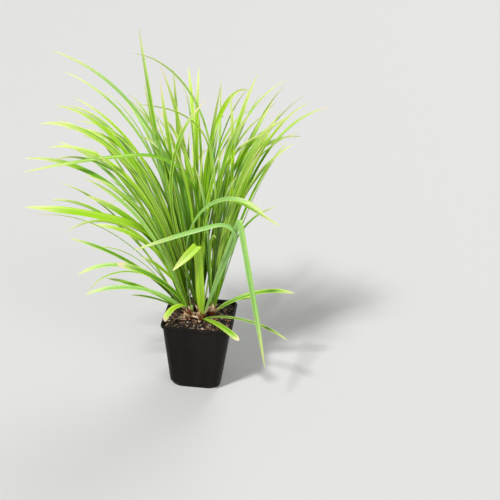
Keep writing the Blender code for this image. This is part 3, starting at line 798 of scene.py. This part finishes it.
def leaf_material():
    """Yellow-green blades with pale margins or a pale middle, fine veins, cream or dry tips, and a painted
    sheen on some blades.
    """
    m = Nodes("sedge_leaf")
    leaf = SimpleNamespace(**{key: m.number(key) for key in BLADE_NUMBERS})
    leaf.out = m.math("ABSOLUTE", leaf.across)
    streaks = m.drawn_out((leaf.across, leaf.reach, leaf.tone), STREAKS, detail=4.0, roughness=0.6)
    colour = m.tinted(leaf_green(m, leaf), leaf_stripes(m, leaf, streaks), PALE_MARGIN, amount=0.75)
    veins = m.math("SINE", m.times(leaf.across, VEINS))
    fine = m.plus(m.times(veins, 0.5), m.spread(streaks, STREAKED_VEINS))
    colour = m.tinted(colour, m.steps(fine, *VEIN_EDGE), m.mix(0.35, colour, BAND_GREEN), amount=0.6)
    colour = m.tinted(colour, m.until(leaf.out, *RIB_EDGE), RIB_GREEN, amount=0.35)
    colour = m.tinted(colour, m.until(leaf.reach, *FOOT_ENDS), SHEATH_GREEN, amount=0.40)
    colour = m.tinted(colour, m.less(1.0, leaf.upper), UNDER_GREEN, amount=0.25)
    # Painted sheen: blades with a low dry number are mixed towards a whitish green in place of a
    # reflection.
    colour = m.tinted(colour, m.until(leaf.dry, *PAINTED_SHEEN_BLADES), PAINTED_SHEEN_GREEN, amount=0.45)
    at = m.plus(leaf.along, m.spread(streaks, STREAKED_TIP))
    colour = m.tinted(colour, m.steps(at, *TIP_PALES), PALE_TIP, amount=0.75)
    dead_from = m.less(1.0, m.times(m.steps(leaf.dry, *DRY_BLADES), DEAD_LENGTH))
    dead = m.steps(m.less(at, dead_from), *DEAD_EDGE)
    colour = m.tinted(colour, dead, DRY_TIP, amount=0.9)
    rough = m.plus(LEAF_ROUGHNESS, m.times(streaks, 0.14))
    rough = m.plus(rough, m.times(dead, 0.3))
    relief = m.bump(fine, strength=0.35, distance=0.00012)
    relief = m.bump(m.noise(scale=900.0, detail=2.0), strength=0.12, distance=0.0001, normal=relief)
    return m.finish(
        colour,
        rough,
        relief,
        Specular_IOR_Level=0.46,
        Subsurface_Weight=LEAF_GLOW,
        Subsurface_Radius=(0.5, 1.0, 0.1),
        Subsurface_Scale=LEAF_GLOW_DEPTH,
    )


DARK_SHEATH = (0.040, 0.009, 0.003)
RED_SHEATH = (0.430, 0.110, 0.018)
TAN_PAPER = (0.680, 0.400, 0.180)
CREAM_PAPER = (0.950, 0.800, 0.580)
SHEATH_FIBRES = (14.0, 1.6, 91.0)
PAPER_FROM = (0.50, 0.68)
FIBROUS_BORDER = 0.9
BORDER_VARIES = 0.7


def sheath_material():
    """Papery leaf sheaths: red-brown at the foot and in streaks, cream and torn above."""
    m = Nodes("sedge_sheath")
    along = m.number("along")
    tone = m.number("tone")
    fibres = m.drawn_out((m.number("across"), along, tone), SHEATH_FIBRES, detail=5.0, roughness=0.65)
    brown = m.mix(m.steps(fibres, 0.35, 0.65), DARK_SHEATH, RED_SHEATH)
    paper = m.mix(m.steps(fibres, 0.40, 0.60), TAN_PAPER, CREAM_PAPER)
    height = m.plus(along, m.spread(fibres, FIBROUS_BORDER))
    height = m.plus(height, m.spread(tone, BORDER_VARIES))
    colour = m.mix(m.steps(height, *PAPER_FROM), brown, paper)
    rough = m.plus(0.45, m.times(fibres, 0.3))
    relief = m.bump(fibres, strength=0.8, distance=0.0004)
    return m.finish(colour, rough, relief, Subsurface_Weight=0.10, Subsurface_Scale=0.001)


STALK_FOOT = (0.075, 0.018, 0.007)
STALK_MIDDLE = (0.300, 0.200, 0.050)
STALK_TOP = (0.260, 0.380, 0.070)


def stalk_material():
    """The shoot's foot: pale green above, red-brown where it stands in the soil."""
    m = Nodes("sedge_stalk")
    fibres = m.noise(scale=700.0, detail=4.0, roughness=0.6, stretch=(1.0, 1.0, 0.12))
    level = m.plus(m.number("along"), m.spread(fibres, 0.5))
    colour = m.mix(m.steps(level, 0.40, 0.62), STALK_FOOT, STALK_MIDDLE)
    colour = m.mix(m.steps(level, 0.58, 0.85), colour, STALK_TOP)
    relief = m.bump(fibres, strength=0.7, distance=0.0004)
    return m.finish(colour, 0.5, relief)


SOIL_BLACK = (0.004, 0.0025, 0.002)
SOIL_DARK = (0.027, 0.014, 0.008)
SOIL_BROWN = (0.060, 0.030, 0.015)


def soil_material():
    """Damp potting soil, nearly black, with lighter brown lumps."""
    m = Nodes("potting_soil")
    grains = m.noise(scale=1500.0, detail=6.0, roughness=0.7)
    lumps = m.noise(scale=260.0, detail=4.0, roughness=0.6)
    colour = m.mix(m.steps(grains, 0.45, 0.70), SOIL_BLACK, SOIL_DARK)
    colour = m.tinted(colour, m.steps(lumps, 0.55, 0.72), SOIL_BROWN, amount=0.5)
    rough = m.less(0.98, m.times(grains, 0.35))
    relief = m.bump(grains, strength=0.9, distance=0.0012)
    relief = m.bump(lumps, strength=0.6, distance=0.0020, normal=relief)
    return m.finish(colour, rough, relief)


CRUMB_BLACK = (0.004, 0.003, 0.002)
CRUMB_DARK = (0.050, 0.022, 0.010)
CRUMB_BROWN = (0.230, 0.110, 0.050)
CRUMB_STRAW = (0.860, 0.700, 0.480)
CRUMB_DIRT = (0.02, 0.012, 0.008)


def crumb_material():
    """Crumbs, bark and fibres: each has its own shade from black through brown to straw."""
    m = Nodes("soil_crumb")
    shade = m.number("shade")
    grain = m.noise(scale=1800.0, detail=4.0, roughness=0.6)
    colour = m.mix(m.steps(shade, 0.0, 0.45), CRUMB_BLACK, CRUMB_DARK)
    colour = m.mix(m.steps(shade, 0.45, 0.75), colour, CRUMB_BROWN)
    colour = m.mix(m.steps(shade, 0.78, 0.95), colour, CRUMB_STRAW)
    colour = m.tinted(colour, m.steps(grain, 0.35, 0.75), CRUMB_DIRT, amount=0.35)
    rough = m.less(0.95, m.times(grain, 0.3))
    relief = m.bump(grain, strength=0.8, distance=0.0006)
    return m.finish(colour, rough, relief)


PLASTIC_BLACK = (0.0050, 0.0036, 0.0030)
PLASTIC_WORN = (0.0088, 0.0062, 0.0050)
POT_DUST = (0.075, 0.050, 0.034)
DUST_RISES = (0.055, 0.092)


def pot_material():
    """Thin black satin plastic, with faint flow marks and pits, and soil dust towards the rim."""
    m = Nodes("pot_plastic")
    place = m.place()
    flow = m.noise(scale=60.0, detail=3.0, roughness=0.5, vector=place, stretch=(1.0, 1.0, 0.10))
    pits = m.noise(scale=1400.0, detail=2.0, roughness=0.5, vector=place)
    dust = m.noise(scale=140.0, detail=6.0, roughness=0.7, vector=place)
    high = m.steps(m.node("ShaderNodeSeparateXYZ", {0: place}).outputs["Z"], *DUST_RISES)
    colour = m.mix(m.steps(flow, 0.35, 0.7), PLASTIC_BLACK, PLASTIC_WORN)
    dusty = m.times(m.steps(dust, 0.56, 0.80), m.plus(0.10, m.times(high, 0.45)))
    colour = m.mix(dusty, colour, POT_DUST)
    rough = m.plus(0.40, m.times(flow, 0.16))
    rough = m.plus(rough, m.times(dusty, 0.5))
    relief = m.bump(pits, strength=0.10, distance=0.0002)
    relief = m.bump(flow, strength=0.12, distance=0.0006, normal=relief)
    return m.finish(colour, rough, relief, Specular_IOR_Level=0.14)


def dressed(piece, node):
    """Attaches a piece to the root body, and hides the node that it stands for."""
    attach(piece, "root")
    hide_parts(node)


def build_shoots(blades, sheaths):
    """Each shoot's fine blades, its stalk, and its papery sheaths."""
    leaf = leaf_material()
    paper = sheath_material()
    stalk = stalk_material()
    look = random.Random(LOOK_SEED)
    for name in SHOOTS:
        parts = [fine_blade(blade, look) for blade in blades if blade.shoot == name]
        piece = joined_mesh(f"blades_{name}", parts, leaf, BLADE_NUMBERS)
        dressed(piece, f"shoot_{name}")
        own = [sheath for sheath in sheaths if sheath.shoot == name]
        if own:
            own = own + torn_sheaths(name, look)
            parts = [fine_blade(sheath, look, SHEATH_STATION) for sheath in own]
            piece = joined_mesh(f"sheaths_{name}", parts, paper, BLADE_NUMBERS)
            dressed(piece, f"shoot_{name}")
        piece = joined_mesh(f"stalk_{name}", [stalk_part(name)], stalk, ("along",))
        dressed(piece, f"shoot_{name}")


TORN_SHEATHS = 7
FRONT_SCRAPS = {"front_left": 26, "front": 4}

# How the torn scraps vary, all round a shoot and at the front of the crown. Units are the blades' own.
SCRAP_RANGES = {
    "heading": (0, 360),
    "lean": (4, 40),
    "bend": (-60, 40),
    "bow": (1.0, 2.0),
    "length": (9, 22),
    "width": (4.0, 8.0),
    "rise": (0.5, 4.0),
    "drift": (-60, 60),
    "roll": (-60, 60),
    "tip": (0.2, 0.6),
}
FRONT_RANGES = {**SCRAP_RANGES, "heading": (-158, -105), "lean": (45, 84), "length": (8, 20)}


def torn_sheaths(name, look):
    """Short, wide scraps of old sheath round a shoot's foot, with more at the front of the crown."""
    scraps = []
    for k in range(TORN_SHEATHS + FRONT_SCRAPS.get(name, 0)):
        ranges = SCRAP_RANGES if k < TORN_SHEATHS else FRONT_RANGES
        scraps.append(Blade(name, **{key: look.uniform(*ends) for key, ends in ranges.items()}))
    return scraps


STALK_SIDES = 28
STALK_ROWS = 26
WRAPS = 3
WRAP_DEPTH = 0.10
WRAP_TWIST = 9
STALK_RIBS = 11
STALK_RIB_DEPTH = 0.05
STALK_RIB_TWIST = 2


def stalk_part(name):
    """A tapered stalk, wrapped and ridged, that stands in its hole in the soil."""
    x, y = SHOOTS[name]
    base = float(soil_height(x, y))
    points = []
    for row in range(STALK_ROWS):
        part = row / (STALK_ROWS - 1)
        z = CORE_FOOT + (CORE_TOP - CORE_FOOT) * part
        radius = CORE_RADIUS + (CORE_TOP_RADIUS - CORE_RADIUS) * part
        for k in range(STALK_SIDES):
            turn = 2 * math.pi * k / STALK_SIDES
            wrap = WRAP_DEPTH * (0.5 + 0.5 * math.sin(WRAPS * turn + WRAP_TWIST * part))
            rib = STALK_RIB_DEPTH * math.sin(STALK_RIBS * turn + STALK_RIB_TWIST * part) ** 2
            out = radius * (1 - wrap - rib)
            points.append((x + out * math.cos(turn), y + out * math.sin(turn), base + z))
    along = np.repeat(np.linspace(0, 1, STALK_ROWS), STALK_SIDES)
    return np.array(points), ring_faces(STALK_ROWS, STALK_SIDES), {"along": along}


def square_ring(half, corner, z, corner_steps, side_steps):
    """A level square of points with round corners, counter-clockwise from above."""
    quarter = []
    for step in range(corner_steps + 1):
        angle = math.pi / 2 * step / corner_steps
        quarter.append((half - corner + corner * math.cos(angle), half - corner + corner * math.sin(angle)))
    for step in range(1, side_steps):
        quarter.append(((half - corner) * (1 - 2 * step / side_steps), half))
    ring = []
    for k in range(4):
        turn = math.pi / 2 * k
        turned = np.array([[math.cos(turn), -math.sin(turn)], [math.sin(turn), math.cos(turn)]])
        for point in quarter:
            x, y = turned @ np.array(point)
            ring.append((x, y, z))
    return ring


def wall_half(z):
    """Half the pot's outer width at height z, between its foot and its neck."""
    return FOOT_HALF + (NECK_HALF - FOOT_HALF) * z / POT_HEIGHT


POT_CORNER_STEPS = 12
SHARP_ANGLE = 40
DRAIN_SIDES = 32
DRAIN_CUT = WALL * 4
FOOT_ROUND = 0.0006
FOOT_TUCK = 0.0001
FOOT_ROUND_TOP = 0.0005
NOTCH_ROUND = 0.001
NOTCH_EDGE = 0.0003
SLOPE_BEGINS = 0.0002
SLOPE_ENDS = 0.0004
BAND_BLEND = 0.001
BAND_FILLET = 0.0003
BAND_EDGE_IN = 0.0004
BAND_EDGE_LOW = 0.0002
BAND_EDGE_HIGH = 0.0007
RIM_ROUND = 0.0009
RIM_STEPS = 4
LIP_ROUND = 0.0004


def outer_levels():
    """Half width, corner radius and height of each ring, from the foot up to the round of the rim."""
    band = POT_HEIGHT - RIM_BAND
    rim_corner = WALL_CORNER + (RIM_HALF - wall_half(band))
    notched = wall_half(NOTCH_HEIGHT)
    slope = NOTCH_HEIGHT + NOTCH_SLOPE
    levels = [
        (wall_half(0) - FOOT_ROUND, NOTCH_CORNER - FOOT_ROUND, 0),
        (wall_half(0) - FOOT_TUCK, NOTCH_CORNER, FOOT_ROUND_TOP),
        (notched, NOTCH_CORNER, NOTCH_HEIGHT - NOTCH_EDGE),
        (notched, NOTCH_CORNER - NOTCH_ROUND, NOTCH_HEIGHT),
        (notched, WALL_CORNER + NOTCH_ROUND, slope - SLOPE_BEGINS),
        (notched, WALL_CORNER, slope + SLOPE_ENDS),
        (wall_half(band - BAND_BLEND), WALL_CORNER, band - BAND_BLEND),
        (wall_half(band) + BAND_FILLET, WALL_CORNER + BAND_FILLET, band),
        (RIM_HALF - BAND_EDGE_IN, rim_corner - BAND_EDGE_IN, band + BAND_EDGE_LOW),
        (RIM_HALF, rim_corner, band + BAND_EDGE_HIGH),
    ]
    for step in range(RIM_STEPS + 1):
        turn = math.pi / 2 * step / RIM_STEPS
        inset = RIM_ROUND * (1 - math.cos(turn))
        levels.append((RIM_HALF - inset, rim_corner - inset, POT_HEIGHT - RIM_ROUND * (1 - math.sin(turn))))
    return levels


def inner_levels():
    """The same for the inside, from the lip down to the floor."""
    lip = wall_half(POT_HEIGHT) - WALL
    corner = WALL_CORNER - WALL
    notch = NOTCH_HEIGHT + WALL
    return [
        (lip + LIP_ROUND, corner + LIP_ROUND, POT_HEIGHT),
        (lip, corner, POT_HEIGHT - LIP_ROUND),
        (wall_half(notch) - WALL, corner, notch + NOTCH_SLOPE),
        (wall_half(notch) - WALL, NOTCH_CORNER, notch),
        (wall_half(WALL) - WALL, NOTCH_CORNER, WALL),
    ]


def build_pot():
    """The pot with its notched foot, rolled rim and drain holes."""
    rings = [square_ring(*level, POT_CORNER_STEPS, 1) for level in outer_levels() + inner_levels()]
    pot = ringed_mesh("pot_shell", rings, pot_material())
    pot.data.set_sharp_from_angle(angle=math.radians(SHARP_ANGLE))
    for k in range(4):
        spot = Matrix.Rotation(math.pi / 2 * k, 3, "Z") @ Vector((DRAIN_OUT, DRAIN_OUT, WALL / 2))
        cut_drain(pot, spot)
    dressed(pot, "pot")


def cut_drain(pot, spot):
    """Cuts one round hole through the pot's floor."""
    size = {"radius": DRAIN_RADIUS, "depth": DRAIN_CUT}
    bpy.ops.mesh.primitive_cylinder_add(vertices=DRAIN_SIDES, location=spot, **size)
    cutter = bpy.context.object
    cut = pot.modifiers.new("drain", "BOOLEAN")
    cut.operation = "DIFFERENCE"
    cut.object = cutter
    graph = bpy.context.evaluated_depsgraph_get()
    mesh = bpy.data.meshes.new_from_object(pot.evaluated_get(graph))
    pot.modifiers.clear()
    pot.data = mesh
    bpy.data.objects.remove(cutter)


SOIL_CORNER_STEPS = 8
SOIL_SIDE_STEPS = 24
SOIL_RINGS = 44

# The soil's lumps of each size: their height in metres, and about how many there are to a metre.
SOIL_LUMPS = ((0.0011, 160), (0.0007, 420), (0.0004, 900))
LUMP_LEVEL = 0.7


def soil_top(x, y):
    """The soil's rough height: lumps and dips over its smooth rise."""
    place = Vector((x, y, LUMP_LEVEL))
    bump = sum(height * noise.noise(place * scale) for height, scale in SOIL_LUMPS)
    return float(soil_height(x, y)) + bump


def soil_half(z, margin=GAP):
    """Half the width inside the pot's wall at height z, less a margin."""
    return wall_half(z) - WALL - margin


def build_soil():
    """The ball of soil, its rough top, and what lies on it."""
    floor = WALL + GAP
    notch = NOTCH_HEIGHT + WALL + GAP
    levels = [
        (soil_half(floor), NOTCH_CORNER, floor),
        (soil_half(notch), NOTCH_CORNER, notch),
        (soil_half(notch), WALL_CORNER - WALL, notch + NOTCH_SLOPE),
    ]
    rings = [square_ring(*level, SOIL_CORNER_STEPS, SOIL_SIDE_STEPS) for level in levels]
    edge = soil_half(SOIL_Z)
    for k in range(SOIL_RINGS):
        part = 1 - k / SOIL_RINGS
        corner = (WALL_CORNER - WALL) * part
        ring = square_ring(edge * part, corner, 0, SOIL_CORNER_STEPS, SOIL_SIDE_STEPS)
        rings.append([(x, y, soil_top(x, y)) for x, y, _ in ring])
    dressed(ringed_mesh("soil_bed", rings, soil_material()), "soil")
    look = random.Random(LOOK_SEED + 1)
    crumb = crumb_material()
    dressed(joined_mesh("soil_crumbs", crumbs(look), crumb, ("shade",)), "soil")
    dressed(joined_mesh("soil_fibres", fibres(look), crumb, ("shade",)), "soil")


HOLE_REACH = 0.0046
SOIL_CORNER = 0.006


def on_soil(look, margin):
    """A random spot on the soil, clear of the shoots."""
    reach = soil_half(SOIL_Z, margin)
    while True:
        x, y = look.uniform(-reach, reach), look.uniform(-reach, reach)
        if any(math.hypot(x - a, y - b) <= HOLE_REACH for a, b in SHOOTS.values()):
            continue
        corner = math.hypot(max(0, abs(x) - reach + SOIL_CORNER), max(0, abs(y) - reach + SOIL_CORNER))
        if corner < SOIL_CORNER:
            return x, y


def ball_points():
    """The corners and faces of a small faceted ball."""
    shape = bmesh.new()
    bmesh.ops.create_icosphere(shape, subdivisions=1, radius=1.0)
    points = np.array([vertex.co for vertex in shape.verts])
    faces = [tuple(vertex.index for vertex in face.verts) for face in shape.faces]
    shape.free()
    return points, faces


CRUMBS = 2200
SMALLEST_CRUMB = 0.00050
LARGER_CRUMB = 0.0019
LARGE_CRUMBS_RARE = 2.2
CRUMB_SQUASH = ((0.7, 1.5), (0.5, 1.2), (0.4, 0.9))
CRUMB_ROUGH = (0.75, 1.25)
CRUMB_TILT = 0.5
CRUMB_LIFT = 0.25
CRUMB_MARGIN = 0.0006
LIGHTEST_CRUMB = 0.78
LIGHT_CRUMBS_RARE = 2.0
CHIPS = 0.17
CHIP_SIZE = (0.0006, 0.0015)
CHIP_SQUASH = (1.5, 0.7, 0.7)
CHIP_SHADE = (0.8, 1.0)


def crumbs(look):
    """Rough crumbs of soil, most of them dark and small, and pale chips, pressed into the top."""
    ball, faces = ball_points()
    parts = []
    for _ in range(CRUMBS):
        size = SMALLEST_CRUMB + LARGER_CRUMB * look.random() ** LARGE_CRUMBS_RARE
        is_chip = look.random() < CHIPS
        if is_chip:
            size = look.uniform(*CHIP_SIZE)
        x, y = on_soil(look, CRUMB_MARGIN + size)
        squash = np.array([look.uniform(*ends) for ends in CRUMB_SQUASH])
        if is_chip:
            squash *= CHIP_SQUASH
        rough = np.array([look.uniform(*CRUMB_ROUGH) for _ in ball])
        turn = Matrix.Rotation(look.uniform(*ANY_TURN), 3, "Z")
        tilt = Matrix.Rotation(look.gauss(0, CRUMB_TILT), 3, "X")
        points = (ball * rough[:, None] * squash * size) @ np.array(turn @ tilt).T
        if is_chip:
            shade = look.uniform(*CHIP_SHADE)
        else:
            shade = look.random() ** LIGHT_CRUMBS_RARE * LIGHTEST_CRUMB
        parts.append((points + [x, y, soil_top(x, y) + size * CRUMB_LIFT], faces, {"shade": shade}))
    return parts


FIBRES = 360
FIBRE_POINTS = 8
FIBRE_SIDES = 5
FIBRE_LENGTH = (0.003, 0.013)
FIBRE_THICK = (0.00018, 0.00042)
FIBRE_CURL = 90
FIBRE_LIFT = 0.0002
FIBRE_MARGIN = 0.002
FIBRE_EDGE = 0.0008
FIBRE_SHADE = (0.62, 1.0)


def fibres(look):
    """Thin strands of peat and straw that lie on the soil."""
    parts = []
    for _ in range(FIBRES):
        spots, thick = fibre_path(look)
        points = fibre_tube(spots, thick)
        shade = look.uniform(*FIBRE_SHADE)
        parts.append((np.array(points), ring_faces(FIBRE_POINTS, FIBRE_SIDES), {"shade": shade}))
    return parts


def fibre_path(look):
    """Points along one curled strand on the soil, and the strand's radius."""
    length = look.uniform(*FIBRE_LENGTH)
    x, y = on_soil(look, FIBRE_MARGIN)
    turn = look.uniform(*ANY_TURN)
    curl = look.gauss(0, FIBRE_CURL)
    thick = look.uniform(*FIBRE_THICK)
    reach = soil_half(SOIL_Z, FIBRE_EDGE)
    runs = FIBRE_POINTS - 1
    spots = []
    for _ in range(FIBRE_POINTS):
        x = min(reach, max(-reach, x + math.cos(turn) * length / runs))
        y = min(reach, max(-reach, y + math.sin(turn) * length / runs))
        turn += curl * length / runs
        lift = thick * 0.5 + abs(look.gauss(0, FIBRE_LIFT))
        spots.append(Vector((x, y, soil_top(x, y) + lift)))
    return spots, thick


def fibre_tube(spots, thick):
    """Rings of points round a strand."""
    points = []
    last = len(spots) - 1
    for k, spot in enumerate(spots):
        ahead = (spots[min(k + 1, last)] - spots[max(k - 1, 0)]).normalized()
        side = ahead.cross(Vector((0, 0, 1))).normalized()
        top = side.cross(ahead)
        for step in range(FIBRE_SIDES):
            angle = 2 * math.pi * step / FIBRE_SIDES
            points.append(spot + (side * math.cos(angle) + top * math.sin(angle)) * thick)
    return points


FLOOR_SIZE = 14
FLOOR_PLACE = (0, 3, 0)
FLOOR_COLOUR = (0.60, 0.595, 0.58)
FLOOR_ROUGHNESS = 0.75


def build_stage():
    """A plain pale floor."""
    bpy.ops.mesh.primitive_plane_add(size=FLOOR_SIZE, location=FLOOR_PLACE)
    floor = bpy.context.object
    floor.name = "floor"
    floor.data.materials.append(Nodes("pale_floor").finish(FLOOR_COLOUR, FLOOR_ROUGHNESS))


# Each light's name, the place that it shines from, its softness in degrees, and its strength.
LIGHTS = (
    ("key", (-0.70, -1.00, 1.45), 8, 3.0),
    ("fill", (0.90, -1.30, 0.70), 60, 1.05),
    ("back", (0.35, 1.25, 1.15), 30, 0.9),
)
SURROUND = (0.92, 0.95, 1.0)
SURROUND_STRENGTH = 0.26


def build_lights():
    """A key light with soft edges, two softer lights and a pale surround."""
    for name, place, softness, strength in LIGHTS:
        lamp = bpy.data.lights.new(name, "SUN")
        lamp.angle = math.radians(softness)
        lamp.energy = strength
        light = bpy.data.objects.new(name, lamp)
        light.location = place
        light.rotation_euler = (-Vector(place)).to_track_quat("-Z", "Y").to_euler()
        bpy.context.scene.collection.objects.link(light)
    world = bpy.data.worlds.new("studio")
    world.use_nodes = True
    background = world.node_tree.nodes["Background"]
    background.inputs["Color"].default_value = (*SURROUND, 1.0)
    background.inputs["Strength"].default_value = SURROUND_STRENGTH
    bpy.context.scene.world = world
    bpy.context.scene.view_settings.view_transform = "Standard"


CAMERA_PLACE = (0.1223, -1.0244, 0.6374)
CAMERA_PITCH = 23.7
CAMERA_YAW = 3.5
CAMERA_ROLL = 3.4
CAMERA_LENS = 64.8
CAMERA_SENSOR = 36


def build_camera():
    """The photograph's view: a little to the right of the pot, looking down at it."""
    lens = bpy.data.cameras.new("camera")
    lens.lens = CAMERA_LENS
    lens.sensor_width = CAMERA_SENSOR
    camera = bpy.data.objects.new("camera", lens)
    yaw = Matrix.Rotation(math.radians(CAMERA_YAW), 4, "Z")
    pitch = Matrix.Rotation(math.radians(90 - CAMERA_PITCH), 4, "X")
    roll = Matrix.Rotation(math.radians(CAMERA_ROLL), 4, "Z")
    camera.matrix_world = Matrix.Translation(CAMERA_PLACE) @ (yaw @ pitch @ roll)
    bpy.context.scene.collection.objects.link(camera)
    bpy.context.scene.camera = camera


def main():
    build_camera()
    build_stage()
    build_lights()
    blades, sheaths = grow_plant()
    build_shoots(blades, sheaths)
    build_pot()
    build_soil()


main()
